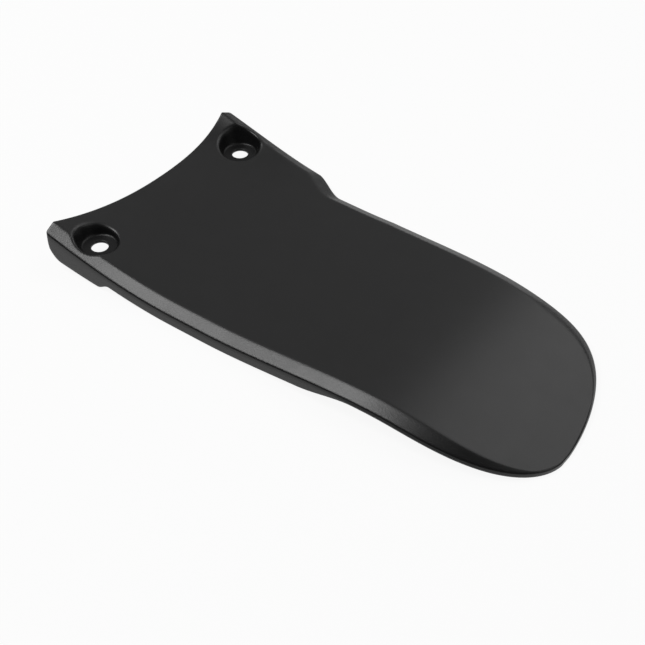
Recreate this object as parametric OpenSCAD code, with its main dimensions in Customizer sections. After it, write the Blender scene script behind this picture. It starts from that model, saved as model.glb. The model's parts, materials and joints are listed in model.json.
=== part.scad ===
/* [Bolts and seats] */
// Distance between the two bolt holes
bolt_spacing = 124; // [116:1:130]
// Diameter of each bolt hole, a clearance for a flanged collar
bolt_hole_d = 10.4; // [8:0.1:11]
// Diameter of the flat floor of each bolt seat
seat_d = 21.6; // [20:0.2:24]
// How much a seat's wall leans out for each millimetre of height
seat_draft = 0.46; // [0.3:0.02:0.5]
// Thickness of the seat floor under the bolt
seat_floor_t = 2; // [1.6:0.2:3.2]

/* [Sheet] */
// Thickness of the moulded sheet
wall = 2.2; // [1.8:0.1:2.8]
// Height of the edge that turns down round the tail
lip_h = 2.6; // [2.4:0.1:3.4]
// How far the lower edge of a skirt stands out for each millimetre of its depth
skirt_flare = 0.12; // [0:0.02:0.2]

/* [Outline] */
// Distance from the bolt line to the front corners
front_reach = 25.6; // [23:0.2:28]
// Distance from the bolt line to the end of the tail
tail_reach = 296.3; // [270:1:320]
// Radius of the hollow front edge
front_edge_r = 307; // [260:1:360]
// How far the corners of the side bevels lie behind the front corners
corner_setback = 0.5; // [0:0.1:3]
// Half width at the front corners on the left side
left_half_w = 80.8; // [78:0.2:86]
// Half width at the front corners on the right side
right_half_w = 80.4; // [78:0.2:86]
// Half width where the rounding of the tail starts
tail_half_w = 64.8; // [60:0.2:70]
// Distance from the bolt line to the start of the tail's rounding
tail_start = 214; // [200:1:225]
// How far left of the middle the lowest point of the tail lies
tail_skew = 20; // [0:1:30]

/* [Right side flare] */
// How far the flare widens on its way back
flare_gain = 2.2; // [0:0.2:5]
// How far the flare stands out from the side behind it
flare_step = 11.6; // [6:0.2:14]
// Distance from the bolt line to the place where the flare turns in
flare_end = 52; // [45:1:60]
// Length of the slope where the flare turns in
flare_slope_l = 24; // [18:1:34]
// How soft the two corners of that slope are, from 0 for sharp to 1 for flowing
flare_soft = 0.5; // [0:0.1:1]
// How far ahead of the outer edge the crease of the bevel turns in there
flare_lead = 5; // [0:0.5:7]
// How far the right side swells out between the flare and the tail
side_swell = 2.8; // [0:0.2:4]

/* [Side bevels] */
// Width of the sloping bevel along each side
bevel_w = 7.4; // [6:0.1:9]
// Drop of the bevel from the main face to its outer edge
bevel_drop = 3.5; // [3:0.1:5]
// Height of the small step between the bevel and the skirt
step_h = 1.2; // [0.6:0.1:1.6]
// Width of that step
step_w = 0.35; // [0.1:0.05:0.6]

/* [Skirts] */
// Depth of the deep skirt at the front corners
skirt_front_h = 13.8; // [10:0.2:17]
// Fall of that depth for each millimetre towards the tail
skirt_front_fall = 0.09; // [0:0.01:0.16]
// Length of the rounded lower front corner of the skirt
skirt_corner_l = 11; // [6:0.5:14]
// Distance from the bolt line to the end of the deep skirt
skirt_front_end = 15; // [10:0.5:18]
// Length of the step up from the deep skirt to the shallow one
skirt_step_l = 9; // [6:0.5:14]
// Depth of the shallow skirt along the middle of the sides
skirt_mid_h = 6.5; // [5:0.1:8]
// Distance from the bolt line to the place where the shallow skirt starts to fade
skirt_fade_start = 160; // [140:1:170]
// Length over which it fades into the lip
skirt_fade_l = 36; // [24:1:50]

/* [Side profile] */
// Height of the middle line above the bolt seats, level with the front corners
front_h = 8.1; // [6:0.1:11]
// Slope of the middle line there, as rise over run
front_slope = 0.295; // [0.2:0.005:0.4]
// Distance from the bolt line to the lowest place of the hollow
hollow_at = 94; // [82:1:105]
// Height of the main face there
hollow_h = -2.8; // [-5:0.1:0]
// Distance from the bolt line to the top of the hump
hump_at = 205; // [190:1:215]
// Height of the main face there
hump_h = 4.3; // [1:0.1:7]
// Height of the main face at the end of the tail
tail_h = -10.6; // [-16:0.1:-6]
// Slope of the main face at the end of the tail
tail_slope = 0.235; // [0.1:0.005:0.4]
// Rise of the sheet from the middle to the left bolt seat
left_rise = 3.3; // [1:0.1:5]
// Rise of the sheet from the middle to the right bolt seat
right_rise = 4; // [1:0.1:5]

/* [Quality] */
// Number of strips across the main face
strips = 14; // [10:2:18]
// Number of rows along the rounding of the tail
tail_rows = 15; // [10:1:20]

/* [Hidden] */
plastic = [0.13, 0.13, 0.135];

hole_x = bolt_spacing / 2;
seat_r = seat_d / 2;
hole_fn = 72;

// How far a cut runs on past the material it cuts
cut_over = 5;

// The tail's rounding runs into one point; the last row stops just short of it
tail_last = 0.998;
// Sharpness of the two tail corners, as the powers of a superellipse
left_corner = [2.8, 2];
right_corner = [4.2, 1.6];
// Power with which the bevel fades out along the tail's rounding
bevel_fade = 4;
// Powers with which the sheet rises from the middle to the seats: the right side curls up late
left_rise_power = 2.4;
right_rise_power = 4.2;
// Distances behind the bolt line between which these rises fade in towards the front
dish_end = 70;
dish_start = -20;
// Distance behind the bolt line at which the rows across have become straight
rows_straight = 30;

function clamp01(t) = min(1, max(0, t));
function smooth(t) = let (c = clamp01(t)) c * c * (3 - 2 * c);
function mix(a, b, t) = a + (b - a) * t;

// Cubic piece between two heights with given slopes at its ends
function cubic(t, h0, h1, m0, m1) =
    h0 * (2 * t * t * t - 3 * t * t + 1) + h1 * (3 * t * t - 2 * t * t * t)
    + m0 * (t * t * t - 2 * t * t + t) + m1 * (t * t * t - t * t);

// Height of the main face along its middle line, y measured forwards from the bolts
function profile(y) =
    y > -hollow_at
    ? let (l = front_reach + hollow_at)
      cubic((y + hollow_at) / l, hollow_h, front_h, 0, front_slope * l)
    : y > -hump_at
    ? let (l = hump_at - hollow_at)
      cubic((-hollow_at - y) / l, hollow_h, hump_h, 0, 0)
    : let (l = tail_reach - hump_at)
      cubic((-hump_at - y) / l, hump_h, tail_h, 0, -tail_slope * l);

// Height of the main face at any place, with the rises towards the bolt seats
function face_z(x, y) =
    let (g = smooth((y + dish_end) / (dish_end - dish_start)),
         q = abs(x) / hole_x,
         rise = x < 0 ? left_rise * pow(q, left_rise_power) : right_rise * pow(q, right_rise_power))
    profile(y) + g * rise;

// How far a row has come round the tail, 0 at the start and 1 at its end
function tail_part(y) = clamp01((-tail_start - y) / (tail_reach - tail_start));

// Straight taper of a side from the front corner to the tail and on through its rounding
function taper(half_w, y) =
    mix(half_w, tail_half_w, (front_reach - y) / (front_reach + tail_start));

// Share of the half width that is left at a row of the tail's rounding
function tail_round(y, p) = pow(max(0, 1 - pow(tail_part(y), p[0])), 1 / p[1]);

function left_x(y) =
    -tail_skew - (taper(left_half_w, y) - tail_skew) * tail_round(y, left_corner);

// The flare on the right side, then the slope inwards and the long swell behind it
function flare_x(y, lead) =
    let (way = clamp01((lead - flare_end - y) / flare_slope_l),
         turn = mix(way, smooth(way), flare_soft),
         out = clamp01((front_reach - y) / (front_reach + flare_end)),
         back = clamp01((-flare_end - y) / (tail_reach - flare_end)),
         edge = right_half_w + flare_gain * out,
         fair = min(edge - flare_step, taper(right_half_w, y)))
    mix(edge, fair + side_swell * sin(180 * back), turn);

function right_x(y, lead = 0) =
    -tail_skew + (flare_x(y, lead) + tail_skew) * tail_round(y, right_corner);

function bevel_part(y) = 1 - pow(tail_part(y), bevel_fade);

// Depth of a skirt below the outer edge of the bevel
function skirt_h(y) =
    let (front = front_reach - corner_setback,
         corner = clamp01((y - front + skirt_corner_l) / skirt_corner_l),
         deep = (skirt_front_h - skirt_front_fall * max(0, front - skirt_corner_l - y))
                * sqrt(max(0, 1 - corner * corner)),
         up = smooth((-skirt_front_end - y) / skirt_step_l),
         fade = smooth((-skirt_fade_start - y) / skirt_fade_l))
    max(lip_h, mix(mix(deep, skirt_mid_h, up), lip_h, fade));

// The front edge is hollow: this is how far a point lies behind the front corners
function corner_x() = left_half_w - bevel_w;
function edge_sag(x) =
    sqrt(front_edge_r * front_edge_r - x * x)
    - sqrt(front_edge_r * front_edge_r - corner_x() * corner_x());

// Near the front the rows across bend to follow the front edge
function row_bend(y) = clamp01((y + rows_straight) / (front_reach + rows_straight));

// Rows across the sheet, from the front corners to the end of the tail
function steps(a, b, n) = [for (i = [0:n - 1]) mix(a, b, i / n)];
front = front_reach;
corner_back = front - corner_setback - skirt_corner_l;
rows = concat(
    [for (i = [0:7]) mix(front, corner_back, 1 - cos(90 * i / 8))],
    steps(corner_back, -skirt_front_end, 4),
    steps(-skirt_front_end, -skirt_front_end - skirt_step_l, 5),
    steps(-skirt_front_end - skirt_step_l, flare_lead - flare_end, 3),
    steps(flare_lead - flare_end, -flare_end, 1),
    steps(-flare_end, -flare_end - flare_slope_l, 8),
    steps(-flare_end - flare_slope_l, -skirt_fade_start, 8),
    steps(-skirt_fade_start, -skirt_fade_start - skirt_fade_l, 4),
    steps(-skirt_fade_start - skirt_fade_l, -tail_start, 2),
    [for (i = [0:tail_rows])
        let (s = tail_last * pow(sin(90 * i / tail_rows), 0.75))
        -mix(tail_start, tail_reach, s)]
);

// A point of the main face: q runs from -1 at the left crease to 1 at the right crease
function crease_x(side, y) =
    side < 0 ? left_x(y) + bevel_w * bevel_part(y)
    : right_x(y, flare_lead) - bevel_w * bevel_part(y);
function face_point(y, q, drop) =
    let (x = mix(crease_x(-1, y), crease_x(1, y), (q + 1) / 2),
         yy = y - row_bend(y) * edge_sag(x))
    [x, yy, face_z(x, yy) - drop];

// The inner faces lie one wall inside the outer ones, sideways and, round the tail, lengthways
function inner_y(y) = y + wall * tail_part(y);

// Points down one side: bevel edge, step, skirt edge outside and inside, inner corner
function side_points(side, y) =
    let (c = face_point(y, side, 0),
         x = side < 0 ? left_x(y) : right_x(y),
         yy = y - row_bend(y) * corner_setback,
         z = c[2] - bevel_drop * bevel_part(y),
         d = skirt_h(yy),
         foot = x + side * (step_w + skirt_flare * d),
         inset = wall - step_w,
         rise = min(inset, bevel_w * bevel_part(y)) * bevel_drop / bevel_w)
    [[x, yy, z],
     [x + side * step_w, yy, z - step_h],
     [foot, yy, z - d],
     [foot - side * wall, inner_y(yy), z - d],
     [x - side * inset, inner_y(yy), z - wall + rise]];

// A point of the underside, one wall below the main face
function under_point(y, q) =
    let (left = max(crease_x(-1, y), left_x(y) + wall),
         right = min(crease_x(1, y), right_x(y) - wall),
         x = mix(left, right, (q + 1) / 2),
         yy = inner_y(y) - row_bend(y) * edge_sag(x))
    [x, yy, face_z(x, yy) - wall];

// One closed row: over the top from left to right, down, back under, and up again
function reversed(list) = [for (i = [len(list) - 1:-1:0]) list[i]];
across = [for (i = [0:strips]) -1 + 2 * i / strips];
function row(y) = concat(
    [for (q = across) face_point(y, q, 0)],
    side_points(1, y),
    [for (q = reversed(across)) under_point(y, q)],
    reversed(side_points(-1, y))
);

// Faces of one end of the sheet, listed in the order of the row that it closes
function end_faces(first) =
    let (s = strips, under = 2 * strips + 6)
    [for (f = concat(
        [for (i = [0:s - 1]) [i, i + 1, under - i - 1, under - i]],
        [[s, s + 1, s + 5, s + 6], [s + 1, s + 2, s + 5], [s + 2, s + 3, s + 4, s + 5]],
        [[under, under + 1, under + 5, 0], [under + 1, under + 4, under + 5],
         [under + 1, under + 2, under + 3, under + 4]]))
        for (k = [1:len(f) - 2]) [first + f[0], first + f[k], first + f[k + 1]]];

module sheet() {
    n = len(row(rows[0]));
    last = len(rows) - 1;
    faces = concat(
        [for (r = [0:last - 1], k = [0:n - 1])
            let (a = r * n + k, b = r * n + (k + 1) % n)
            each [[a, b, b + n], [a, b + n, a + n]]],
        [for (f = end_faces(0)) reversed(f)],
        end_faces(last * n)
    );
    polyhedron(points = [for (y = rows) each row(y)], faces = faces, convexity = 6);
}

// Everything below the middle of the sheet near the bolts, which trims the seats' walls
module under_skin() {
    near = [for (y = rows) if (y > -flare_end) y];
    function skin_row(y) = concat(
        [side_points(-1, y)[0] - [0, 0, wall / 2]],
        [for (q = across) face_point(y, q, wall / 2)],
        [side_points(1, y)[0] - [0, 0, wall / 2]]
    );
    m = strips + 3;
    tops = [for (y = near) each skin_row(y)];
    feet = [for (p = tops) [p[0], p[1], -seat_floor_t - 1]];
    foot = len(tops);
    last = len(near) - 1;
    function two(a, b, c, d) = [[a, b, c], [a, c, d]];
    faces = concat(
        [for (r = [0:last - 1], k = [0:m - 2])
            let (a = r * m + k)
            each concat(two(a, a + 1, a + m + 1, a + m),
                        two(foot + a, foot + a + m, foot + a + m + 1, foot + a + 1))],
        [for (k = [0:m - 2]) each two(k, foot + k, foot + k + 1, k + 1)],
        [for (k = [0:m - 2])
            let (a = last * m + k) each two(a, a + 1, foot + a + 1, foot + a)],
        [for (r = [0:last - 1])
            let (a = r * m) each two(a, a + m, foot + a + m, foot + a)],
        [for (r = [0:last - 1])
            let (a = r * m + m - 1) each two(a, foot + a, foot + a + m, a + m)]
    );
    polyhedron(points = concat(tops, feet), faces = faces, convexity = 4);
}

module at_bolts() {
    for (side = [-1, 1]) translate([side * hole_x, 0, 0]) children();
}

// Height to which the seats are drawn before they are trimmed, above any point of the skin
seat_top = 20;
// Thickness of the leaning wall round a seat
seat_wall = 0.9 * wall;

// Leaning wall and floor of a bolt seat
module seat_body() {
    low = -seat_floor_t;
    r0 = seat_r + seat_wall;
    translate([0, 0, low])
        cylinder(h = seat_top - low, r1 = r0 + seat_draft * low, r2 = r0 + seat_draft * seat_top,
                 $fn = hole_fn);
}

module seat_hollow() {
    top = seat_top + cut_over;
    cylinder(h = top, r1 = seat_r, r2 = seat_r + seat_draft * top, $fn = hole_fn);
}

module bolt_hole() {
    translate([0, 0, -seat_floor_t - cut_over])
        cylinder(h = seat_floor_t + 2 * cut_over, d = bolt_hole_d, $fn = hole_fn);
}

module mudguard() {
    color(plastic)
        difference() {
            union() {
                sheet();
                intersection() {
                    under_skin();
                    at_bolts() seat_body();
                }
            }
            at_bolts() seat_hollow();
            at_bolts() bolt_hole();
        }
}

mudguard();
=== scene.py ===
"""The looks of a rear hugger mudguard: one moulded black panel and the pale studio it lies in."""

import json
from math import cos, radians, sin

import bpy
import numpy as np
from bpy.props import FloatProperty, FloatVectorProperty, PointerProperty
from bpy.types import Operator, Panel, PropertyGroup
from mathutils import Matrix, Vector


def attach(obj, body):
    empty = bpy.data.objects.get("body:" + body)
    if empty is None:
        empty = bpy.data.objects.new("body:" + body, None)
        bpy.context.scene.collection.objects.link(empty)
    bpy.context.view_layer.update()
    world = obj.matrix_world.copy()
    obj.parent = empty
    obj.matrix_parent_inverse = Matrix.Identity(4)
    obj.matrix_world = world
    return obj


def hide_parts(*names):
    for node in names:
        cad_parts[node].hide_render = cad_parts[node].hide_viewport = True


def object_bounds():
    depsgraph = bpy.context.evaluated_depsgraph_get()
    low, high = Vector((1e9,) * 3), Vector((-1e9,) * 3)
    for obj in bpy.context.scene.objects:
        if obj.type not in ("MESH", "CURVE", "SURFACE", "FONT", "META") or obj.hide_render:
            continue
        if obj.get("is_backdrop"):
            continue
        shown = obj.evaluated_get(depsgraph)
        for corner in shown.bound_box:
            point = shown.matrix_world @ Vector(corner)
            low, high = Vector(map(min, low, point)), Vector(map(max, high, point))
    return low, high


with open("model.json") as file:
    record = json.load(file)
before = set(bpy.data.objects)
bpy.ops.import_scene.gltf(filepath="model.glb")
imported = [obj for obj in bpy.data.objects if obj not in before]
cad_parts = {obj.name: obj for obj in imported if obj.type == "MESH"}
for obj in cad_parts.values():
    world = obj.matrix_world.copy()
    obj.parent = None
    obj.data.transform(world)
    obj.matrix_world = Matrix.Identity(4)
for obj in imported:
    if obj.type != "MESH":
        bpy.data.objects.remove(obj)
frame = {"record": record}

bl_info = {
    "name": "Rear hugger mudguard",
    "version": (1, 0, 0),
    "blender": (4, 5, 0),
    "location": "View3D > Sidebar > Mudguard",
    "description": "Builds a moulded black mudguard panel and the pale studio it lies in",
    "category": "Object",
}

MM = 0.001
NODE = "mudguard"
LEFT = -1
RIGHT = 1


def mount_dims(name):
    """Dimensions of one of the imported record's mounts."""
    return next(m["dims"] for m in frame["record"]["mounts"] if m["name"] == name)


HOLES = mount_dims("bolt_holes")


def length(name, mm, text):
    """A length that is written in millimetres and kept in metres."""
    return FloatProperty(
        name=name, description=text, default=mm * MM, precision=5, subtype="DISTANCE", unit="LENGTH"
    )


def share(name, value, text):
    """A plain number, such as a slope or a share."""
    return FloatProperty(name=name, description=text, default=value, precision=3)


class MudguardSizes(PropertyGroup):
    """Sizes of the moulded panel, the same as those of its solid. The hole line runs across
    through the middles of the two holes."""

    bolt_spacing: length("Hole spacing", HOLES["spacing_x_mm"], "Distance between the two holes")
    bolt_hole_d: length("Hole", 2 * HOLES["hole_r_mm"], "Diameter of each hole")
    seat_d: length("Seat", 21.6, "Diameter of the flat floor of each seat")
    seat_draft: share("Seat draft", 0.46, "How much a seat's wall leans out for its height")
    seat_floor_t: length("Seat floor", 2, "Thickness of the seat floor")
    seat_wall: length("Seat wall", 1.98, "Thickness of the leaning wall round a seat")
    wall: length("Wall", 2.2, "Thickness of the moulded sheet")
    lip_h: length("Lip", 2.6, "Height of the edge that turns down round the tail")
    skirt_flare: share("Skirt flare", 0.12, "How far a skirt stands out for its depth")
    front_reach: length("Front reach", 25.6, "Distance from the hole line to the front corners")
    tail_reach: length("Tail reach", 296.3, "Distance from the hole line to the end of the tail")
    front_edge_r: length("Front edge radius", 307, "Radius of the hollow front edge")
    corner_setback: length("Corner setback", 0.5, "How far the outer corners lie behind the creases")
    left_half_w: length("Left half width", 80.8, "Half width at the front on the left side")
    right_half_w: length("Right half width", 80.4, "Half width at the front on the right side")
    tail_half_w: length("Tail half width", 64.8, "Half width where the tail's rounding starts")
    tail_start: length("Tail start", 214, "Distance from the hole line to the tail's rounding")
    tail_skew: length("Tail skew", 20, "How far left of the middle the tail's lowest point lies")
    flare_gain: length("Flare gain", 2.2, "How far the flare widens on its way back")
    flare_step: length("Flare step", 11.6, "How far the flare stands out from the side behind it")
    flare_end: length("Flare end", 52, "Distance from the hole line to where the flare turns in")
    flare_slope_l: length("Flare slope", 24, "Length of the slope where the flare turns in")
    flare_soft: share("Flare softness", 0.5, "How soft the two corners of that slope are")
    flare_lead: length("Flare lead", 5, "How far ahead of the outer edge the crease turns in there")
    side_swell: length("Side swell", 2.8, "How far the right side swells out behind the flare")
    bevel_w: length("Bevel width", 7.4, "Width of the sloping bevel along each side")
    bevel_drop: length("Bevel drop", 3.5, "Drop of the bevel to its outer edge")
    step_h: length("Step height", 1.2, "Height of the step between the bevel and the skirt")
    step_w: length("Step width", 0.35, "Width of that step")
    skirt_front_h: length("Front skirt", 13.8, "Depth of the deep skirt at the front corners")
    skirt_front_fall: share("Skirt fall", 0.09, "Fall of that depth towards the tail")
    skirt_corner_l: length("Skirt corner", 11, "Length of the skirt's rounded lower front corner")
    skirt_front_end: length("Deep skirt end", 15, "Distance from the hole line to its end")
    skirt_step_l: length("Skirt step", 9, "Length of the step up to the shallow skirt")
    skirt_mid_h: length("Shallow skirt", 6.5, "Depth of the skirt along the middle of the sides")
    skirt_fade_start: length("Skirt fade start", 160, "Distance from the hole line to its fade")
    skirt_fade_l: length("Skirt fade", 36, "Length over which the skirt fades into the lip")
    front_h: length("Front height", 8.1, "Height of the middle line level with the front corners")
    front_slope: share("Front slope", 0.295, "Rise over run of the middle line there")
    hollow_at: length("Hollow place", 94, "Distance from the hole line to the hollow")
    hollow_h: length("Hollow height", -2.8, "Height of the face in the hollow")
    hump_at: length("Hump place", 205, "Distance from the hole line to the hump")
    hump_h: length("Hump height", 4.3, "Height of the face on the hump")
    tail_h: length("Tail height", -10.6, "Height of the face at the end of the tail")
    tail_slope: share("Tail slope", 0.235, "Slope of the face at the end of the tail")
    left_rise: length("Left rise", 3.3, "Rise of the sheet from the middle to the left seat")
    right_rise: length("Right rise", 4, "Rise of the sheet from the middle to the right seat")


class MudguardEdges(PropertyGroup):
    """Roundings of the panel's edges and corners."""

    crease_round: length("Crease", 0.45, "Depth over which the bevel's upper crease is rounded")
    edge_round: length("Bevel edge", 1.0, "Reach of the rounding along the bevel's outer edge")
    foot_round: length("Skirt foot", 0.6, "Reach of the rounding along a skirt's lower edge")
    rim_round: length("Seat rim", 1.7, "Reach of the rounding round a seat's rim")
    floor_round: length("Seat floor corner", 1.1, "Reach of the rounding round a seat's floor")
    corner_round: length("Front corner", 1.8, "Radius of the rounding of each outer front corner")
    hole_round: length("Hole edge", 0.6, "Reach of the rounding round a hole")


class MudguardFinish(PropertyGroup):
    """Colour and sheen of the moulded plastic."""

    deep: FloatVectorProperty(
        name="Deep black", description="Colour in the darker places of the plastic",
        default=(0.0045, 0.0045, 0.0047), size=3, min=0, max=1, subtype="COLOR",
    )
    pale: FloatVectorProperty(
        name="Pale black", description="Colour in the lighter places of the plastic",
        default=(0.0070, 0.0070, 0.0072), size=3, min=0, max=1, subtype="COLOR",
    )
    face_rough: share("Face roughness", 0.35, "Roughness of the smooth main face")
    bevel_rough: share("Bevel roughness", 0.32, "Roughness of the grained bevels and skirts")
    sheen: share("Sheen", 0.5, "Strength of the plastic's reflections")
    # Painted shade: the weaker sheen used deep in the seats to darken them
    painted_shade_sheen: share("Seat sheen", 0.26, "Strength of the reflections deep in the seats")
    grain_size: length("Grain size", 0.8, "Size of the fine grain")
    cloud_size: length("Cloud size", 14, "Size of the soft clouding of the sheen")
    grain_depth: length("Grain depth", 0.045, "Depth of the fine grain on the bevels")


class MudguardStudio(PropertyGroup):
    """The camera, the lamps and the floor."""

    azimuth: FloatProperty(
        name="Azimuth", description="Direction the camera looks in, from +Y towards +X",
        default=radians(50.6), subtype="ANGLE", unit="ROTATION",
    )
    elevation: FloatProperty(
        name="Elevation", description="Height of the camera above the horizon",
        default=radians(43.4), subtype="ANGLE", unit="ROTATION",
    )
    distance: length("Distance", 625.8, "Distance from the camera to the point it looks at")
    target: FloatVectorProperty(
        name="Target", description="Point the camera looks at",
        default=(-0.0289, -0.145, 0.0), size=3, subtype="XYZ", unit="LENGTH",
    )
    lens: FloatProperty(
        name="Lens", description="Focal length in millimetres on a 36 mm sensor", default=62.99
    )
    floor_albedo: share("Floor", 0.85, "Colour of the floor under light")
    floor_glow: share("Floor glow", 0.92, "Share of plain white in what is seen of the floor")
    world_level: share("World", 0.02, "Strength of the even light all round")


def clamp01(t):
    """t kept between 0 and 1."""
    return np.clip(t, 0.0, 1.0)


def smooth(t):
    """Soft step from 0 to 1: three t squared less two t cubed."""
    c = clamp01(t)
    return c * c * (3 - 2 * c)


def mix(a, b, t):
    """Straight blend from a to b."""
    return a + (b - a) * t


def cubic(t, h0, h1, m0, m1):
    """Cubic piece from height h0 to h1, with slopes m0 and m1 at its ends."""
    return (
        h0 * (2 * t**3 - 3 * t**2 + 1) + h1 * (3 * t**2 - 2 * t**3)
        + m0 * (t**3 - 2 * t**2 + t) + m1 * (t**3 - t**2)
    )


def bezier(a, b, c, t):
    """Curve that leaves a towards b and arrives at c from b."""
    return (1 - t) ** 2 * a + 2 * t * (1 - t) * b + t * t * c


def round_min(a, b, k):
    """The lower of a and b, rounded where they are less than k apart."""
    h = clamp01(0.5 + 0.5 * (b - a) / k)
    return mix(b, a, h) - k * h * (1 - h)


def graded(start, end, places, gaps):
    """Places from start to end whose spacing follows the gaps given at some places."""
    dense = np.linspace(start, end, 4000)
    way = 1 if end > start else -1
    gap = np.interp(way * dense, way * np.array(places), gaps)
    pieces = np.abs(np.diff(dense)) * 2 / (gap[1:] + gap[:-1])
    count = np.concatenate([[0], np.cumsum(pieces)])
    steps = int(np.ceil(count[-1]))
    return np.interp(np.linspace(0, count[-1], steps + 1), count, dense)


class SheetShape:
    """Outline and heights of the sheet, as formulas over whole arrays of places in metres."""

    # Powers of the superellipse by which each side rounds into the tail
    left_corner = (2.8, 2.0)
    right_corner = (4.2, 1.6)
    # Powers by which the bevels fade round the tail. The solid has 4 on both sides, and the
    # photo shows the left one fade earlier
    bevel_fade = {LEFT: 2.2, RIGHT: 4.0}
    # Powers by which the face rises towards the seats. The rise is whole from 20 mm ahead of
    # the hole line and gone from 70 mm behind it
    left_rise_power = 2.4
    right_rise_power = 4.2
    dish_end = 70 * MM
    dish_start = -20 * MM
    # Distance behind the hole line from which the rows lie straight across
    rows_straight = 30 * MM
    # Least width of a bevel, and the limits of the share across it while a row is sought
    width_least = 1e-6
    across_limits = (-1, 2)
    # How much softer the right crease gets round the tail, how fast, and the least rounding
    crease_soft = 4
    crease_soft_rate = 3
    crease_least = 0.02

    # Gaps between rows, as pairs in millimetres: how far behind the front corners or behind
    # the hole line, and the gap there
    front_gaps = ((0, 0.3), (2, 0.6), (6, 1.3))
    side_gaps = ((22, 1.3), (34, 2.0), (46, 2.0), (52, 1.3), (78, 1.3), (92, 2.3))
    tail_start_gap = 2.0 * MM
    # Gap between the tail's rows along its edge. The last row stops short of the tail's end by
    # the square of the last share of its length
    tail_gap = 1.9 * MM
    tail_last = 0.045

    # Columns over a bevel as shares of its width, and those just past its crease. The latter
    # draw closer where the sheet is narrower than the given width
    bevel_shares = np.array([0, 0.24, 0.46, 0.66, 0.82, 0.93, 1.0])
    past_crease = np.array([0.8, 1.8, 3.2]) * MM
    narrow_w = 120 * MM
    # Least share of the sheet's width that the columns over a bevel take
    bevel_least = 0.01
    # Columns in the middle: their reach, the two distances from its ends between which the
    # gap grows, and the gap over the seats and between them
    middle_w = 136 * MM
    seat_near, seat_far = 30 * MM, 40 * MM
    seat_gap, middle_gap = 1.3 * MM, 2.6 * MM
    # Share of an inset by which the front corners move back too, and its fade behind them
    front_pull = 0.6
    front_fade = 12 * MM

    def __init__(self, sizes, edges):
        self.s = sizes
        self.e = edges
        self.hole_x = sizes.bolt_spacing / 2

    def profile(self, y):
        """Height along the middle line: three cubics through the front, hollow, hump and tail."""
        s = self.s
        front_l = s.front_reach + s.hollow_at
        middle_l = s.hump_at - s.hollow_at
        tail_l = s.tail_reach - s.hump_at
        front = cubic((y + s.hollow_at) / front_l, s.hollow_h, s.front_h, 0, s.front_slope * front_l)
        middle = cubic((-s.hollow_at - y) / middle_l, s.hollow_h, s.hump_h, 0, 0)
        tail = cubic((-s.hump_at - y) / tail_l, s.hump_h, s.tail_h, 0, -s.tail_slope * tail_l)
        return np.where(y > -s.hollow_at, front, np.where(y > -s.hump_at, middle, tail))

    def face_z(self, x, y):
        """Height of the main face: the profile, and near the seats a rise to each side that
        grows with a power of the distance from the middle."""
        g = smooth((y + self.dish_end) / (self.dish_end - self.dish_start))
        q = np.abs(x) / self.hole_x
        left = self.s.left_rise * q**self.left_rise_power
        right = self.s.right_rise * q**self.right_rise_power
        return self.profile(y) + g * np.where(x < 0, left, right)

    def tail_part(self, y):
        """0 at the start of the tail's rounding and 1 at its end."""
        s = self.s
        return clamp01((-s.tail_start - y) / (s.tail_reach - s.tail_start))

    def taper(self, half_w, y):
        """Straight taper of a side from the front corner towards the tail."""
        s = self.s
        return mix(half_w, s.tail_half_w, (s.front_reach - y) / (s.front_reach + s.tail_start))

    def tail_round(self, y, powers):
        """Share of the half width left in the tail, as in a superellipse: one less a power of
        the tail's part, and a root of that."""
        return np.maximum(0, 1 - self.tail_part(y) ** powers[0]) ** (1 / powers[1])

    def flare_x(self, y, lead):
        """Right side: the flare, a slope inwards that starts a lead early, and a long swell."""
        s = self.s
        way = clamp01((lead - s.flare_end - y) / s.flare_slope_l)
        turn = mix(way, smooth(way), s.flare_soft)
        out = clamp01((s.front_reach - y) / (s.front_reach + s.flare_end))
        back = clamp01((-s.flare_end - y) / (s.tail_reach - s.flare_end))
        edge = s.right_half_w + s.flare_gain * out
        fair = np.minimum(edge - s.flare_step, self.taper(s.right_half_w, y))
        return mix(edge, fair + s.side_swell * np.sin(np.pi * back), turn)

    def corner_cut(self, y):
        """How far an outer front corner, rounded on a circle, pulls the outline in at row y."""
        r = self.e.corner_round
        ahead = np.clip(y - self.s.front_reach + r, 0, r)
        return r - np.sqrt(r * r - ahead**2)

    def outline_x(self, side, y, lead=0.0):
        """x of the bevel's outer edge at row y: the taper or the flare, measured from the tail's
        lowest point, times the tail's rounding, less the cut of the front corner."""
        s = self.s
        if side == LEFT:
            half = (self.taper(s.left_half_w, y) - s.tail_skew) * self.tail_round(y, self.left_corner)
            return self.corner_cut(y) - s.tail_skew - half
        half = (self.flare_x(y, lead) + s.tail_skew) * self.tail_round(y, self.right_corner)
        return half - s.tail_skew - self.corner_cut(y)

    def bevel_part(self, side, y):
        """Share of a side's bevel that is left: one less a power of the tail's part."""
        return 1 - self.tail_part(y) ** self.bevel_fade[side]

    def bevel_width(self, side, y):
        """Width of the bevel, less the rounding of the corner; on the right its crease turns
        in ahead of its outer edge."""
        width = self.s.bevel_w * self.bevel_part(side, y) - self.corner_cut(y)
        if side == RIGHT:
            width = width + self.outline_x(RIGHT, y) - self.outline_x(RIGHT, y, self.s.flare_lead)
        return np.maximum(width, self.width_least)

    def skirt_depth(self, y):
        """Depth of a skirt: a deep front part with a round corner, a shallow part, then the lip."""
        s = self.s
        front = s.front_reach - s.corner_setback
        corner = clamp01((y - front + s.skirt_corner_l) / s.skirt_corner_l)
        fall = s.skirt_front_fall * np.maximum(0, front - s.skirt_corner_l - y)
        deep = (s.skirt_front_h - fall) * np.sqrt(1 - corner**2)
        up = smooth((-s.skirt_front_end - y) / s.skirt_step_l)
        fade = smooth((-s.skirt_fade_start - y) / s.skirt_fade_l)
        return np.maximum(s.lip_h, mix(mix(deep, s.skirt_mid_h, up), s.lip_h, fade))

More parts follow.
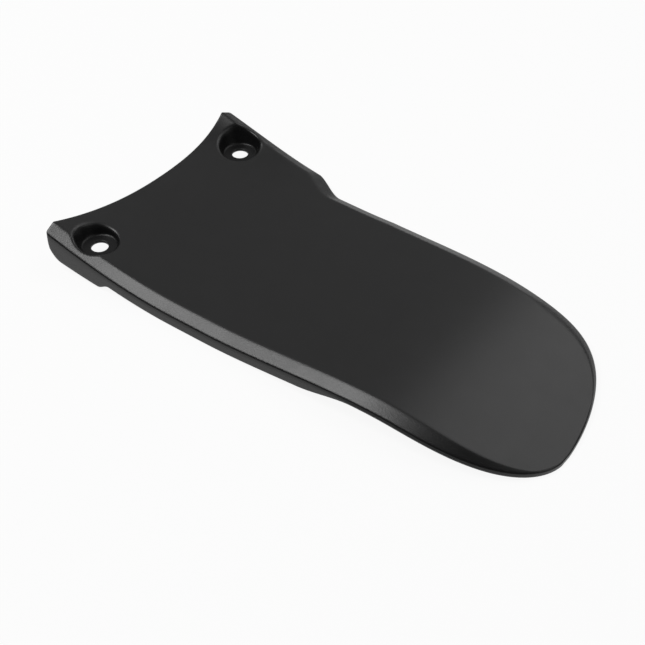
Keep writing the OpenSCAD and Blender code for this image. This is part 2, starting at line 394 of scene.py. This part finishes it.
    def edge_sag(self, x):
        """How far a point of the front edge, hollow on a circle, lies behind its corners."""
        r = self.s.front_edge_r
        corner_x = self.s.left_half_w - self.s.bevel_w
        return np.sqrt(r * r - x * x) - np.sqrt(r * r - corner_x**2)

    def row_bend(self, y):
        """Share with which a row across follows the front edge."""
        return clamp01((y + self.rows_straight) / (self.s.front_reach + self.rows_straight))

    def bevel_z(self, side, x, y):
        """Height of a bevel's plane: it falls from the crease of the row that the point is in,
        and that row is found in five rounds."""
        row = y
        for _ in range(5):
            width = self.bevel_width(side, row)
            edge = self.outline_x(side, row)
            crease = edge - side * width
            across = side * (edge - x) / width
            across = np.clip(across, *self.across_limits)
            back = mix(self.s.corner_setback, self.edge_sag(crease), across)
            row = y + self.row_bend(row) * back
        crease_y = row - self.row_bend(row) * self.edge_sag(crease)
        slope = self.s.bevel_drop * self.bevel_part(side, row) / (width + self.corner_cut(row))
        return self.face_z(crease, crease_y) - slope * (width - side * (edge - x))

    def skin_z(self, x, y):
        """Height of the outer skin: the lower of face and bevels, with rounded creases. The
        right crease softens round the tail."""
        z = self.face_z(x, y)
        part = self.tail_part(y)
        soft = 1 + self.crease_soft * smooth(self.crease_soft_rate * part) * (1 - part)
        for side in (LEFT, RIGHT):
            rounding = self.e.crease_round * np.maximum(self.bevel_part(side, y), self.crease_least)
            rounding = rounding * (soft if side == RIGHT else 1)
            z = round_min(z, self.bevel_z(side, x, y), rounding)
        return z

    def rows(self):
        """Rows from front to tail, closer at the seats and the flare, even along the tail's edge."""
        s = self.s
        places = [s.front_reach - behind * MM for behind, _ in self.front_gaps]
        places += [-behind * MM for behind, _ in self.side_gaps]
        gaps = [gap * MM for _, gap in self.front_gaps + self.side_gaps]
        body = graded(s.front_reach, -s.tail_start, [*places, -s.tail_start],
                      [*gaps, self.tail_start_gap])
        dense = 1 - np.linspace(1, self.tail_last, 3000) ** 2
        tail = -mix(s.tail_start, s.tail_reach, dense)
        run = 0
        for side in (LEFT, RIGHT):
            step = np.hypot(np.diff(self.outline_x(side, tail)), np.diff(tail))
            run = run + np.concatenate([[0], np.cumsum(step)]) / 2
        even = np.linspace(0, run[-1], int(run[-1] / self.tail_gap) + 1)
        return np.concatenate([body[:-1], np.interp(even, run, tail)])

    def side_normal(self, side, rows):
        """Outward direction of a side's outline in plan, at each row."""
        y = rows - self.row_bend(rows) * self.s.corner_setback
        tangent = np.gradient(np.stack([self.outline_x(side, rows), y], 1), axis=0)
        normal = np.stack([-side * tangent[:, 1], side * tangent[:, 0]], 1)
        return normal / np.linalg.norm(normal, axis=1, keepdims=True)

    def moved_edges(self, rows, inset):
        """For each side its outline in plan, and that line moved in by the inset along its
        normal. Near the front corners the moved line also lies further back."""
        s = self.s
        front_share = clamp01(1 - (s.front_reach - rows) / self.front_fade)
        sides = {}
        for side in (LEFT, RIGHT):
            edge_y = rows - self.row_bend(rows) * s.corner_setback
            edge = np.stack([self.outline_x(side, rows), edge_y], 1)
            moved = edge - inset * self.side_normal(side, rows)
            moved[:, 1] -= self.front_pull * inset * front_share
            sides[side] = (edge, moved)
        return sides

    def columns_x(self, rows, sides):
        """x of the grid. Columns: over each bevel by shares, a few past its crease, and the
        rest between, closer over the seats."""
        width = sides[RIGHT][1][:, 0] - sides[LEFT][1][:, 0]
        scale = np.minimum(1, width / self.narrow_w)[:, None]
        parts = {}
        for side in (LEFT, RIGHT):
            edge, moved = sides[side]
            start = moved[:, :1]
            crease = edge[:, :1] - side * self.bevel_width(side, rows)[:, None]
            least = start - side * self.bevel_least * width[:, None]
            crease = np.maximum(crease, least) if side == LEFT else np.minimum(crease, least)
            past = crease - side * self.past_crease * scale
            parts[side] = np.hstack([mix(start, crease, self.bevel_shares), past])
        near, far, end = self.seat_near, self.seat_far, self.middle_w
        gaps = [self.seat_gap, self.seat_gap, self.middle_gap, self.middle_gap, self.seat_gap,
                self.seat_gap]
        spread = graded(0, end, [0, near, far, end - far, end - near, end], gaps) / end
        between = mix(parts[LEFT][:, -1:], parts[RIGHT][:, -1:], spread[1:-1])
        return np.hstack([parts[LEFT], between, parts[RIGHT][:, ::-1]])

    def plan(self, rows, inset):
        """Places of the grid in plan; its edge lies the inset inside the outline. Near the front
        each row sags like the front edge, and less over the bevels. What the two sides move
        along y is shared out evenly across."""
        s = self.s
        sides = self.moved_edges(rows, inset)
        x = self.columns_x(rows, sides)
        sag = self.edge_sag(x)
        for side in (LEFT, RIGHT):
            edge = sides[side][0][:, :1]
            width = self.bevel_width(side, rows)[:, None]
            crease = edge - side * width
            across = clamp01(side * (edge - x) / width)
            back = mix(s.corner_setback, self.edge_sag(crease), across)
            sag = np.where(side * (x - crease) > 0, back, sag)
        left, right = [(sides[side][1] - sides[side][0])[:, 1:] for side in (LEFT, RIGHT)]
        across = (x - x[:, :1]) / (x[:, -1:] - x[:, :1])
        y = rows[:, None] - self.row_bend(rows)[:, None] * sag + mix(left, right, across)
        return np.stack([x, y], 2)


def border(i0, i1, j0, j1):
    """Grid places round a block, clockwise from its front left corner, as rows and columns."""
    front = [(i0, j) for j in range(j0, j1)]
    right = [(i, j1) for i in range(i0, i1)]
    tail = [(i1, j) for j in range(j1, j0, -1)]
    left = [(i, j0) for i in range(i1, i0, -1)]
    return np.array(front + right + tail + left).T


def ring_faces(rings, outward):
    """Faces between neighbouring rings of vertex numbers, each ring closed on itself."""
    a, b = rings[:-1], rings[1:]
    c, d = np.roll(b, -1, axis=1), np.roll(a, -1, axis=1)
    order = (a, d, c, b) if outward else (a, b, c, d)
    return np.stack(order, -1).reshape(-1, 4)


class ShellMesh:
    """Vertices, faces and grain of the whole shell, gathered part by part. The grain is 0 on
    the smooth face, 1 on bevels and skirts and 2 deep in the seats, where the step from 1 to 2
    weakens the sheen as painted shade."""

    def __init__(self):
        self.points = []
        self.grain = []
        self.faces = []
        self.count = 0

    def add(self, points, grain):
        """Adds an array of points and returns their numbers in the same layout."""
        shape = points.shape[:-1]
        size = int(np.prod(shape))
        self.points.append(points.reshape(-1, 3))
        self.grain.append(np.broadcast_to(grain, shape).reshape(-1))
        numbers = np.arange(self.count, self.count + size).reshape(shape)
        self.count += size
        return numbers

    def build(self, name):
        """The finished mesh, without the points that no face uses."""
        points = np.vstack(self.points)
        faces = np.vstack(self.faces)
        used = np.unique(faces)
        number = np.zeros(len(points), int)
        number[used] = np.arange(len(used))
        mesh = bpy.data.meshes.new(name)
        mesh.from_pydata(points[used].tolist(), [], number[faces].tolist())
        mesh.polygons.foreach_set("use_smooth", np.ones(len(faces), bool))
        grain = mesh.attributes.new("grain", "FLOAT", "POINT")
        grain.data.foreach_set("value", np.concatenate(self.grain)[used].astype(np.float32))
        mesh.update()
        if mesh.validate():
            raise RuntimeError("the shell's faces are not sound")
        return mesh


def even_steps(count):
    """Shares of a way after each of so many even steps, the last one being the whole."""
    return np.linspace(0, 1, count + 1)[1:]


# The outer edge's rounding drops by this share of its reach
EDGE_DROP = 0.9
# Length behind a front corner over which the skirt takes shape
CORNER_BLEND = 3 * MM
# The plain front edge: reach of its roundings, depth of the ring that makes the step on the
# sides, and height at which its lower rounding starts
FRONT_ROUND = 0.5 * MM
FRONT_STEP = 0.8 * MM
FRONT_FOOT = 0.3 * MM
# Reach of the roundings on the underside
UNDER_ROUND = 0.4 * MM
# Least height of a skirt's inner wall, and the most that a rounding takes of it
INNER_LEAST = 0.1 * MM
INNER_SHARE = 0.42


def edge_rings(shape, rows, loop, top_edge, under_edge):
    """Rings from the top skin over the outer edge, down the skirt, round its foot and up its
    inner wall to the underside. Each ring is a distance out from the outline and a depth under
    the bevel's edge. Along the front edge the same rings lie close together round a plain edge."""
    s, e = shape.s, shape.e
    loop_row, loop_column = loop
    last_row, last_column = len(rows) - 1, loop_column.max()
    row = rows[loop_row]
    outline = shape.plan(rows, 0.0)[loop_row, loop_column]
    inward = (shape.plan(rows, MM)[loop_row, loop_column] - outline) / MM
    on_side = (loop_column == 0) | (loop_column == last_column)
    on_skirt = (on_side | (loop_row == last_row)) & (loop_row > 0)
    skirted = np.where(on_skirt, smooth((s.front_reach - row) / CORNER_BLEND), 0)
    facing = np.zeros(len(row))
    for side, column in ((LEFT, 0), (RIGHT, last_column)):
        normal_x = shape.side_normal(side, rows)[loop_row, 0]
        facing = np.where(loop_column == column, normal_x, facing)
    depth = np.where(skirted > 0, shape.skirt_depth(outline[:, 1]), s.lip_h)
    edge_z = shape.skin_z(outline[:, 0], outline[:, 1])
    foot_z = edge_z - depth
    front_foot_z = edge_z - s.wall

    def place(out, front_out):
        """Places in plan that lie out from the outline: front_out along the front edge, out
        along the skirts, and a blend of both near the corners."""
        out = mix(front_out, out, skirted)
        plan = outline - inward * np.minimum(out, 0)[:, None]
        plan[:, 0] += facing * np.maximum(out, 0)
        return plan

    def under_z(out):
        """Height of the underside at one distance out from the outline."""
        plan = place(out, out)
        return shape.skin_z(plan[:, 0], plan[:, 1]) - s.wall

    inner_out = s.step_w - s.wall
    inner_z = under_z(inner_out)
    inner_h = np.maximum(inner_z - foot_z, INNER_LEAST)
    foot_r = np.minimum(e.foot_round, INNER_SHARE * inner_h)
    corner_r = np.minimum(UNDER_ROUND, INNER_SHARE * inner_h)
    foot_out = s.step_w + s.skirt_flare * depth
    rings = []

    def ring(out, z, front_out, front_z):
        """Adds a ring: its place out and its height along the skirts and along the front."""
        rings.append(np.column_stack([place(out, front_out), mix(front_z, z, skirted)]))

    # Over the outer edge, down the step and the skirt, and round the outside of its foot
    top_z = top_edge[:, 2]
    drop = EDGE_DROP * e.edge_round
    drop_out = s.step_w * drop / s.step_h
    for t in even_steps(5):
        front_out = bezier(-e.edge_round, 0.0, 0.0, t)
        front_z = bezier(top_z, edge_z, edge_z - FRONT_ROUND, t)
        z = bezier(top_z, edge_z, edge_z - drop, t)
        ring(bezier(-e.edge_round, 0.0, drop_out, t), z, front_out, front_z)
    ring(s.step_w, edge_z - s.step_h, 0.0, edge_z - FRONT_STEP)
    for t in even_steps(6):
        h = mix(s.step_h, depth - foot_r, t)
        front_h = mix(FRONT_STEP, s.wall - FRONT_FOOT, t)
        ring(s.step_w + s.skirt_flare * h, edge_z - h, 0.0, edge_z - front_h)
    start = s.step_w + s.skirt_flare * (depth - foot_r)
    front_under_z = under_z(-FRONT_ROUND)
    for t in even_steps(3):
        front_out = bezier(0.0, 0.0, -FRONT_ROUND, t)
        front_z = bezier(front_foot_z + FRONT_FOOT, front_foot_z, front_under_z, t)
        z = bezier(foot_z + foot_r, foot_z, foot_z, t)
        ring(bezier(start, foot_out, foot_out - foot_r, t), z, front_out, front_z)

    # Across the foot and up the inner wall. Along the front edge these rings lie evenly on the
    # underside
    inner_foot = foot_out - s.wall
    inner_start = inner_foot - s.skirt_flare * foot_r
    inner = [(foot_out - s.wall / 2, foot_z), (inner_foot + foot_r, foot_z)]
    for t in even_steps(3):
        out = bezier(inner_foot + foot_r, inner_foot, inner_start, t)
        inner.append((out, bezier(foot_z, foot_z, foot_z + foot_r, t)))
    for t in even_steps(3):
        z = mix(foot_z + foot_r, inner_z - corner_r, t)
        inner.append((mix(inner_start, inner_out, t), z))
    for t in even_steps(3)[:-1]:
        out = bezier(inner_out, inner_out, inner_out - corner_r, t)
        inner.append((out, bezier(inner_z - corner_r, inner_z, under_edge[:, 2], t)))
    flat = np.linspace(-FRONT_ROUND, inner_out - UNDER_ROUND, len(inner) + 2)[1:-1]
    for (out, z), front_out in zip(inner, flat):
        ring(out, z, front_out, under_z(front_out))
    return np.stack(rings)


# The most that a rounding takes of a seat's depth
SEAT_SHARE = 0.45


def seat_rings(shape, side, top_block, under_block):
    """Rings from the top skin into a seat: over its rim, down its leaning wall, across its
    floor, through the hole, out across the boss below and up to the underside. A wall's radius
    is the floor's plus the draft times the height; a rim is where that cone meets the skin."""
    s, e = shape.s, shape.e
    centre = np.array([side * shape.hole_x, 0.0])
    seat_r, hole_r = s.seat_d / 2, s.bolt_hole_d / 2
    boss_r = seat_r + s.seat_wall
    count = len(top_block)
    angle = np.unwrap(np.arctan2(top_block[:, 1], top_block[:, 0] - centre[0]))
    even = angle[0] - 2 * np.pi * np.arange(count) / count
    even += np.mean(angle - even)
    way = np.column_stack([np.cos(even), np.sin(even)])
    rings = []

    def skin(radius, drop):
        """Height at a drop under the skin, at a radius all round."""
        plan = centre + way * np.asarray(radius).reshape(-1, 1)
        return shape.skin_z(plan[:, 0], plan[:, 1]) - drop

    def meet(base, drop):
        """Radius and height where a leaning wall meets the skin or, with the wall's thickness
        as drop, the underside, found in nine rounds."""
        radius = np.full(count, base)
        for _ in range(9):
            radius = base + s.seat_draft * skin(radius, drop)
        return radius, skin(radius, drop)

    def leaning(base, z):
        """Radius and height of a leaning wall at a height."""
        return (base + s.seat_draft * z, z)

    def ring(radius, z):
        """Adds a ring at a radius and a height."""
        plan = centre + way * (radius + np.zeros(count))[:, None]
        rings.append(np.column_stack([plan, z + np.zeros(count)]))

    def turn(a, b, c, steps):
        """Adds rings that round the corner b on the way from a to c."""
        for t in even_steps(steps):
            ring(bezier(a[0], b[0], c[0], t), bezier(a[1], b[1], c[1], t))

    def line(a, b, steps):
        """Adds rings straight from a to b."""
        for t in even_steps(steps):
            ring(mix(a[0], b[0], t), mix(a[1], b[1], t))

    # Over the rim, down the leaning wall and round the corner of the floor
    rim_r, rim_z = meet(seat_r, 0.0)
    rim = np.minimum(e.rim_round, SEAT_SHARE * rim_z)
    start = rim_r + rim
    rim_start = centre + way * start[:, None]
    for t in even_steps(9):
        plan = mix(top_block[:, :2], rim_start, t)
        rings.append(np.column_stack([plan, shape.skin_z(plan[:, 0], plan[:, 1])]))
    wall_top = leaning(seat_r, rim_z - rim)
    turn((start, skin(start, 0.0)), (rim_r, rim_z), wall_top, steps=6)
    corner = np.minimum(e.floor_round, SEAT_SHARE * rim_z)
    wall_foot = leaning(seat_r, corner)
    line(wall_top, wall_foot, steps=4)
    turn(wall_foot, (seat_r, 0.0), (seat_r - corner, 0.0), steps=4)

    # Across the floor and through the hole
    low = -s.seat_floor_t
    hole_edge = hole_r + e.hole_round
    line((seat_r - corner, 0.0), (hole_edge, 0.0), steps=4)
    turn((hole_edge, 0.0), (hole_r, 0.0), (hole_r, -e.hole_round), steps=3)
    line((hole_r, -e.hole_round), (hole_r, low + e.hole_round), steps=2)
    turn((hole_r, low + e.hole_round), (hole_r, low), (hole_edge, low), steps=3)

    # Out across the boss, up its side and out to the underside's grid
    boss_edge = leaning(boss_r, low)
    line((hole_edge, low), (boss_edge[0] - e.hole_round, low), steps=3)
    boss_side = leaning(boss_r, low + e.hole_round)
    turn((boss_edge[0] - e.hole_round, low), boss_edge, boss_side, steps=3)
    under_r, under_z = meet(boss_r, s.wall)
    boss_top = leaning(boss_r, under_z - UNDER_ROUND)
    line(boss_side, boss_top, steps=4)
    past = under_r + UNDER_ROUND
    turn(boss_top, (under_r, under_z), (past, skin(past, s.wall)), steps=3)
    past_plan = centre + way * past[:, None]
    for t in even_steps(6)[:-1]:
        plan = mix(past_plan, under_block[:, :2], t)
        rings.append(np.column_stack([plan, shape.skin_z(plan[:, 0], plan[:, 1]) - s.wall]))
    return np.stack(rings)


# How far the part of the grid that a seat takes reaches from its hole to the front, the tail
# and the middle, and the number of a row just behind the seats
BLOCK_REACH = 19.6 * MM
ROW_BEHIND_SEATS = 40
# Depth under the face over which the grain comes in, and the grain of the underside
GRAIN_FADE = 0.6 * MM
UNDER_GRAIN = 0.5
# Depths under the skin between which the seats' weaker sheen comes in, a painted shade
PAINTED_SHADE_TOP, PAINTED_SHADE_DEEP = 1 * MM, 3 * MM


def seat_block(shape, side, top):
    """The rows and the columns between which a seat takes the place of the top grid."""
    hole_x = side * shape.hole_x
    column = int(np.argmin(np.abs(top[ROW_BEHIND_SEATS, :, 0] - hole_x)))
    y = top[:, column, 1]
    i0 = int(np.max(np.nonzero(y >= BLOCK_REACH)))
    i1 = int(np.min(np.nonzero(y <= -BLOCK_REACH)))
    inner_x = hole_x - side * BLOCK_REACH
    inner = int(np.argmin(np.abs(top[(i0 + i1) // 2, :, 0] - inner_x)))
    return (i0, i1, 0, inner) if side == LEFT else (i0, i1, inner, top.shape[1] - 1)


def seat_grain_and_shade(shape, rings):
    """Grain of a seat's rings: up to 1 by their depth under the face, and one more by their
    depth under the skin, which weakens the sheen there as painted shade."""
    x, y, z = rings[..., 0], rings[..., 1], rings[..., 2]
    below_face = shape.face_z(x, y) - z
    below_skin = shape.skin_z(x, y) - z
    # Painted shade: the share by which the sheen weakens deep in the seat
    deep = smooth((below_skin - PAINTED_SHADE_TOP) / (PAINTED_SHADE_DEEP - PAINTED_SHADE_TOP))
    return smooth(below_face / GRAIN_FADE) + deep


def shell_mesh(sizes, edges):
    """The whole panel as one closed surface: a grid for the top skin, one for the underside,
    rings round the outer edge between them, and rings through each seat."""
    shape = SheetShape(sizes, edges)
    rows = shape.rows()
    mesh = ShellMesh()

    top_plan = shape.plan(rows, edges.edge_round)
    under_plan = shape.plan(rows, sizes.wall - sizes.step_w + UNDER_ROUND)
    top_z = shape.skin_z(top_plan[..., 0], top_plan[..., 1])
    under_z = shape.skin_z(under_plan[..., 0], under_plan[..., 1]) - sizes.wall
    top = np.dstack([top_plan, top_z])
    under = np.dstack([under_plan, under_z])
    below_face = shape.face_z(top_plan[..., 0], top_plan[..., 1]) - top_z
    top_numbers = mesh.add(top, smooth(below_face / GRAIN_FADE))
    under_numbers = mesh.add(under, UNDER_GRAIN)

    def band(loop, rings, grain, outward):
        """Adds rings and their faces, from the top grid's vertices to the underside's."""
        first = top_numbers[loop[0], loop[1]][None]
        last = under_numbers[loop[0], loop[1]][None]
        chain = np.vstack([first, mesh.add(rings, grain), last])
        mesh.faces.append(ring_faces(chain, outward))

    last_row, last_column = len(rows) - 1, top.shape[1] - 1
    open_cells = np.ones((last_row, last_column), bool)
    for side in (LEFT, RIGHT):
        i0, i1, j0, j1 = seat_block(shape, side, top)
        open_cells[i0:i1, j0:j1] = False
        block = border(i0, i1, j0, j1)
        rings = seat_rings(shape, side, top[block[0], block[1]], under[block[0], block[1]])
        band(block, rings, seat_grain_and_shade(shape, rings), False)

    cell_i, cell_j = np.nonzero(open_cells)
    for numbers, upward in ((top_numbers, True), (under_numbers, False)):
        corners = [numbers[cell_i, cell_j], numbers[cell_i + 1, cell_j],
                   numbers[cell_i + 1, cell_j + 1], numbers[cell_i, cell_j + 1]]
        mesh.faces.append(np.stack(corners if upward else corners[::-1], -1))

    loop = border(0, last_row, 0, last_column)
    rings = edge_rings(shape, rows, loop, top[loop[0], loop[1]], under[loop[0], loop[1]])
    band(loop, rings, 1.0, True)
    return mesh.build("mudguard_shell")


def link(obj):
    """Puts an object into the scene."""
    bpy.context.scene.collection.objects.link(obj)
    return obj


def new_material(name):
    """An empty node material and its tree."""
    material = bpy.data.materials.new(name)
    material.use_nodes = True
    tree = material.node_tree
    tree.nodes.clear()
    return material, tree


def add_node(tree, kind, x, y, **values):
    """A node at a place in the tree, with some of its settings."""
    node = tree.nodes.new(kind)
    node.location = (x, y)
    for key, value in values.items():
        setattr(node, key, value)
    return node


def feed(tree, node, values):
    """Gives inputs of a node their plain values, or a wire where the value is a socket."""
    for label, value in values.items():
        if isinstance(value, bpy.types.NodeSocket):
            tree.links.new(value, node.inputs[label])
        else:
            node.inputs[label].default_value = value


def add_math(tree, x, y, operation, *values, clamp=False):
    """Output of a maths node with the given inputs."""
    node = add_node(tree, "ShaderNodeMath", x, y, operation=operation, use_clamp=clamp)
    feed(tree, node, dict(enumerate(values)))
    return node.outputs[0]


def grain_group():
    """Node group: noise of a given size and contrast, as a share from 0 to 1: a half, plus the
    contrast times what the noise has over a half."""
    name = "moulded_grain"
    if name in bpy.data.node_groups:
        return bpy.data.node_groups[name]
    group = bpy.data.node_groups.new(name, "ShaderNodeTree")
    group.interface.new_socket("Vector", in_out="INPUT", socket_type="NodeSocketVector")
    for label, default in (("Scale", 1000.0), ("Detail", 2.0), ("Contrast", 1.0)):
        socket = group.interface.new_socket(label, in_out="INPUT", socket_type="NodeSocketFloat")
        socket.default_value = default
    group.interface.new_socket("Share", in_out="OUTPUT", socket_type="NodeSocketFloat")
    entry = add_node(group, "NodeGroupInput", -600, 0)
    leave = add_node(group, "NodeGroupOutput", 400, 0)
    noise = add_node(group, "ShaderNodeTexNoise", -380, 0)
    feed(group, noise, {label: entry.outputs[label] for label in ("Vector", "Scale", "Detail")})
    centred = add_math(group, -160, 0, "SUBTRACT", noise.outputs["Fac"], 0.5)
    contrast = entry.outputs["Contrast"]
    grain = add_math(group, 20, 0, "MULTIPLY_ADD", centred, contrast, 0.5, clamp=True)
    feed(group, leave, {"Share": grain})
    return group


# Detail and contrast of the fine grain's noise and of the clouding's
GRAIN_NOISE = (3.0, 1.6)
CLOUD_NOISE = (2.0, 1.4)
# Refractive index of the plastic, how much its roughness varies, and the share of the grain's
# depth that the smooth face has
PLASTIC_IOR = 1.5
ROUGH_VARIES = 0.08
FACE_GRAIN = 0.25


def plastic_material(finish):
    """Satin black plastic: a fine grain, strongest on bevels and skirts, a soft clouding, and
    a sheen weakened deep in the seats as painted shade."""
    material, tree = new_material("moulded_plastic")
    out = add_node(tree, "ShaderNodeOutputMaterial", 700, 0)
    shader = add_node(tree, "ShaderNodeBsdfPrincipled", 400, 0)
    place = add_node(tree, "ShaderNodeTexCoord", -900, 0)
    mask = add_node(tree, "ShaderNodeAttribute", -900, -320, attribute_name="grain")

    def noise(y, size, detail, contrast):
        """The shared noise at a size, on Object coordinates."""
        node = add_node(tree, "ShaderNodeGroup", -640, y, node_tree=grain_group())
        feed(tree, node, {"Vector": place.outputs["Object"], "Scale": 1 / size,
                          "Detail": detail, "Contrast": contrast})
        return node.outputs["Share"]

    def by_grain(x, y, start, low, high):
        """A value that goes from low to high while the grain attribute goes from start to one
        more."""
        node = add_node(tree, "ShaderNodeMapRange", x, y)
        feed(tree, node, {"Value": mask.outputs["Fac"], "From Min": start,
                          "From Max": start + 1, "To Min": low, "To Max": high})
        return node.outputs["Result"]

    fine = noise(200, finish.grain_size, *GRAIN_NOISE)
    cloud = noise(-80, finish.cloud_size, *CLOUD_NOISE)
    # The tone is the mean of grain and clouding
    half_cloud = add_math(tree, -500, 60, "MULTIPLY", cloud, 0.5)
    tone = add_math(tree, -380, 220, "MULTIPLY_ADD", fine, 0.5, half_cloud)
    colour = add_node(tree, "ShaderNodeMix", -160, 220, data_type="RGBA")
    feed(tree, colour, {"A": (*finish.deep, 1), "B": (*finish.pale, 1), "Factor": tone})

    base = by_grain(-380, -60, 0.0, finish.face_rough, finish.bevel_rough)
    rough = add_math(tree, -160, -60, "MULTIPLY_ADD", tone, ROUGH_VARIES, base)
    # Painted shade: the sheen falls to its weaker value deep in the seats
    sheen = by_grain(-160, -520, 1.0, finish.sheen, finish.painted_shade_sheen)
    depth = by_grain(-380, -320, 0.0, FACE_GRAIN, 1.0)
    height = add_math(tree, -160, -320, "MULTIPLY", fine, depth)
    bump = add_node(tree, "ShaderNodeBump", 100, -320)
    feed(tree, bump, {"Strength": 1.0, "Distance": finish.grain_depth, "Height": height})

    feed(tree, shader, {"Base Color": colour.outputs["Result"], "Roughness": rough,
                        "IOR": PLASTIC_IOR, "Specular IOR Level": sheen,
                        "Normal": bump.outputs["Normal"]})
    feed(tree, out, {"Surface": shader.outputs["BSDF"]})
    return material


def floor_material(studio):
    """Pale matt floor that looks nearly white to the camera and in reflections, and still
    shows the object's shadow."""
    material, tree = new_material("studio_floor")
    out = add_node(tree, "ShaderNodeOutputMaterial", 600, 0)
    matt = add_node(tree, "ShaderNodeBsdfDiffuse", 0, 120)
    feed(tree, matt, {"Color": (studio.floor_albedo,) * 3 + (1,)})
    white = add_node(tree, "ShaderNodeEmission", 0, -60)
    feed(tree, white, {"Color": (1, 1, 1, 1)})
    path = add_node(tree, "ShaderNodeLightPath", -600, 200)
    seen = path.outputs["Is Camera Ray"]
    for x, label in ((-380, "Is Glossy Ray"), (-200, "Is Transmission Ray")):
        seen = add_math(tree, x, 260, "ADD", seen, path.outputs[label], clamp=True)
    glow = add_math(tree, 0, 300, "MULTIPLY", seen, studio.floor_glow)
    blend = add_node(tree, "ShaderNodeMixShader", 300, 0)
    feed(tree, blend, {0: glow, 1: matt.outputs[0], 2: white.outputs[0]})
    feed(tree, out, {"Surface": blend.outputs[0]})
    return material


def aim(obj, direction):
    """Turns a lamp or camera so that it looks along a direction."""
    obj.rotation_mode = "QUATERNION"
    obj.rotation_quaternion = direction.to_track_quat("-Z", "Y")


# Each soft lamp: its name, the direction it stands in from the object, its distance and
# its two sides in metres, and its power in watts
LAMPS = (
    ("overhead_softbox", (-0.28, 0.45, 0.85), 1.5, 0.7, 0.7, 13.5),
    ("side_softbox", (0.62, -0.15, 0.77), 1.5, 0.9, 0.9, 4.7),
    ("low_softbox", (0.85, -0.1, 0.45), 1.5, 1.4, 0.9, 1.6),
    ("front_softbox", (0.55, 0.52, 0.66), 1.5, 1.3, 1.1, 1.6),
    ("backdrop", (0.82, 0.55, 0.2), 1.5, 1.4, 0.5, 0.5),
    ("fill_softbox", (0.2, -0.72, 0.67), 1.5, 1.0, 1.0, 2.5),
)


def add_lamp(name, direction, distance, width, height, power, target):
    """A rectangular soft lamp that faces the target."""
    data = bpy.data.lights.new(name, "AREA")
    data.shape = "RECTANGLE"
    data.size = width
    data.size_y = height
    data.energy = power
    lamp = link(bpy.data.objects.new(name, data))
    out = Vector(direction).normalized()
    lamp.location = target + out * distance
    aim(lamp, -out)


class MUDGUARD_OT_shell(Operator):
    """Build the moulded panel with its bevels, skirts, flare and seats"""

    bl_idname = "mudguard.shell"
    bl_label = "Moulded panel"

    def execute(self, context):
        scene = context.scene
        mesh = shell_mesh(scene.mudguard_sizes, scene.mudguard_edges)
        shell = link(bpy.data.objects.new("mudguard_shell", mesh))
        mesh.materials.append(plastic_material(scene.mudguard_finish))
        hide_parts(NODE)
        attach(shell, "root")
        return {"FINISHED"}


class MUDGUARD_OT_studio(Operator):
    """Set up the pale floor, the soft lamps and the camera"""

    bl_idname = "mudguard.studio"
    bl_label = "Studio"

    def execute(self, context):
        scene = context.scene
        studio = scene.mudguard_studio
        lo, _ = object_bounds()
        reach, low = 6.0, lo[2]
        ways = ((-1, -1), (1, -1), (1, 1), (-1, 1))
        corners = [(reach * x, reach * y, low) for x, y in ways]
        mesh = bpy.data.meshes.new("floor")
        mesh.from_pydata(corners, [], [(0, 1, 2, 3)])
        mesh.materials.append(floor_material(studio))
        link(bpy.data.objects.new("floor", mesh))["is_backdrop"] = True

        target = Vector(studio.target)
        for lamp in LAMPS:
            add_lamp(*lamp, target)

        world = bpy.data.worlds.new("soft_world")
        world.use_nodes = True
        background = world.node_tree.nodes["Background"]
        feed(world.node_tree, background, {"Color": (1, 1, 1, 1), "Strength": studio.world_level})
        scene.world = world

        a, e = studio.azimuth, studio.elevation
        forward = Vector((cos(e) * sin(a), cos(e) * cos(a), -sin(e)))
        camera = link(bpy.data.objects.new("camera", bpy.data.cameras.new("camera")))
        camera.data.lens = studio.lens
        camera.data.sensor_fit = "HORIZONTAL"
        camera.data.sensor_width = 36.0
        camera.data.clip_start = 0.01
        camera.location = target - forward * studio.distance
        aim(camera, forward)
        scene.camera = camera
        scene.view_settings.view_transform = "Standard"
        return {"FINISHED"}


class MUDGUARD_PT_sidebar(Panel):
    """Sizes, finish and studio of the mudguard"""

    bl_label = "Mudguard"
    bl_idname = "MUDGUARD_PT_sidebar"
    bl_space_type = "VIEW_3D"
    bl_region_type = "UI"
    bl_category = "Mudguard"

    def draw(self, context):
        layout = self.layout
        scene = context.scene
        for title, group in (("Sizes", scene.mudguard_sizes), ("Edges", scene.mudguard_edges),
                             ("Finish", scene.mudguard_finish), ("Studio", scene.mudguard_studio)):
            box = layout.box()
            box.label(text=title)
            for name in group.bl_rna.properties.keys():
                if name not in ("rna_type", "name"):
                    box.prop(group, name)
        layout.operator(MUDGUARD_OT_shell.bl_idname)
        layout.operator(MUDGUARD_OT_studio.bl_idname)


GROUPS = {
    "mudguard_sizes": MudguardSizes,
    "mudguard_edges": MudguardEdges,
    "mudguard_finish": MudguardFinish,
    "mudguard_studio": MudguardStudio,
}
CLASSES = (*GROUPS.values(), MUDGUARD_OT_shell, MUDGUARD_OT_studio, MUDGUARD_PT_sidebar)


def register():
    """Registers the classes and hangs the property groups on the scene."""
    for cls in CLASSES:
        bpy.utils.register_class(cls)
    for name, cls in GROUPS.items():
        setattr(bpy.types.Scene, name, PointerProperty(type=cls))


def unregister():
    """Takes everything back in the opposite order."""
    for name in GROUPS:
        delattr(bpy.types.Scene, name)
    for cls in reversed(CLASSES):
        bpy.utils.unregister_class(cls)


def main():
    """Builds the panel and its studio."""
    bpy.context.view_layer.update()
    register()
    bpy.ops.mudguard.shell()
    bpy.ops.mudguard.studio()


if __name__ == "__main__":
    main()
